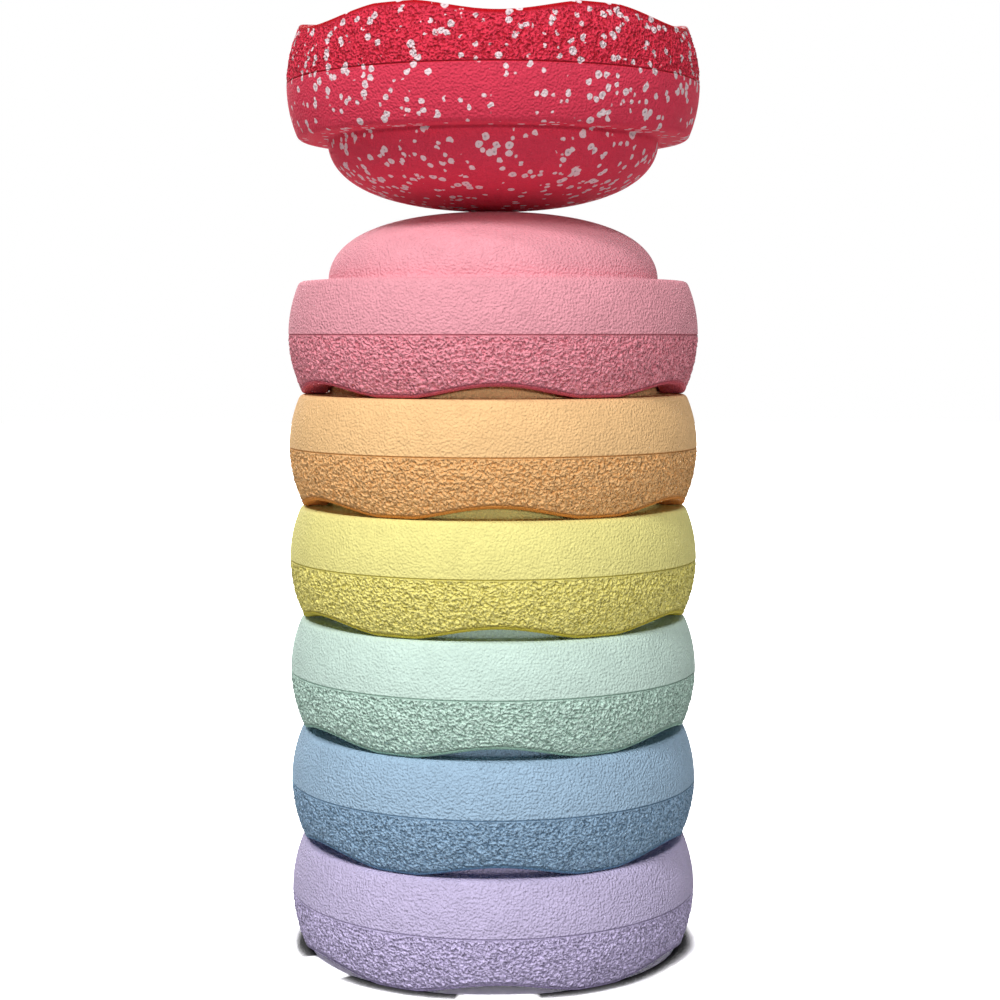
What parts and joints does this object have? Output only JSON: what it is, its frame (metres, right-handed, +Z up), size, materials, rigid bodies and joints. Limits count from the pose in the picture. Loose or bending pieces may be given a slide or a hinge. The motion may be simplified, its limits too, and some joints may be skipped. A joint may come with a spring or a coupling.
{
  "type": "stack of balance stepping stones",
  "caption": "Tower of round foam balance stepping stones for children, nested dome up on one axis, with an upturned stone balanced on the topmost dome.",
  "frame": {"origin": "on the floor, at the common axis of the stones, in the plane of the lowest stone's soles", "axes": "+Z up along the common axis; -Y towards the viewer, where an arch of every foot edge faces; +X to the viewer's right"},
  "size_m": [0.275, 0.275, 0.6173],
  "materials": {
    "purple_foam": "matte",
    "blue_foam": "matte",
    "mint_foam": "matte",
    "yellow_foam": "matte",
    "orange_foam": "matte",
    "pink_foam": "matte",
    "red_flecked_foam": "matte"
  },
  "bodies": {
    "purple": {"purple_stone": "purple_foam"},
    "blue": {"blue_stone": "blue_foam"},
    "mint": {"mint_stone": "mint_foam"},
    "yellow": {"yellow_stone": "yellow_foam"},
    "orange": {"orange_stone": "orange_foam"},
    "pink": {"pink_stone": "pink_foam"},
    "red": {"red_upturned_stone": "red_flecked_foam"}
  },
  "joints": [
    {"name": "blue_lift", "type": "slide", "parent": "purple", "child": "blue", "axis": [0, 0, 1], "range_m": [0, 0.05]},
    {"name": "mint_lift", "type": "slide", "parent": "blue", "child": "mint", "axis": [0, 0, 1], "range_m": [0, 0.05]},
    {"name": "yellow_lift", "type": "slide", "parent": "mint", "child": "yellow", "axis": [0, 0, 1], "range_m": [0, 0.05]},
    {"name": "orange_lift", "type": "slide", "parent": "yellow", "child": "orange", "axis": [0, 0, 1], "range_m": [0, 0.05]},
    {"name": "pink_lift", "type": "slide", "parent": "orange", "child": "pink", "axis": [0, 0, 1], "range_m": [0, 0.05]},
    {"name": "red_spin", "type": "hinge", "parent": "pink", "child": "red", "pos_m": [0, 0, 0.4961], "axis": [0, 0, 1], "continuous": true}
  ]
}
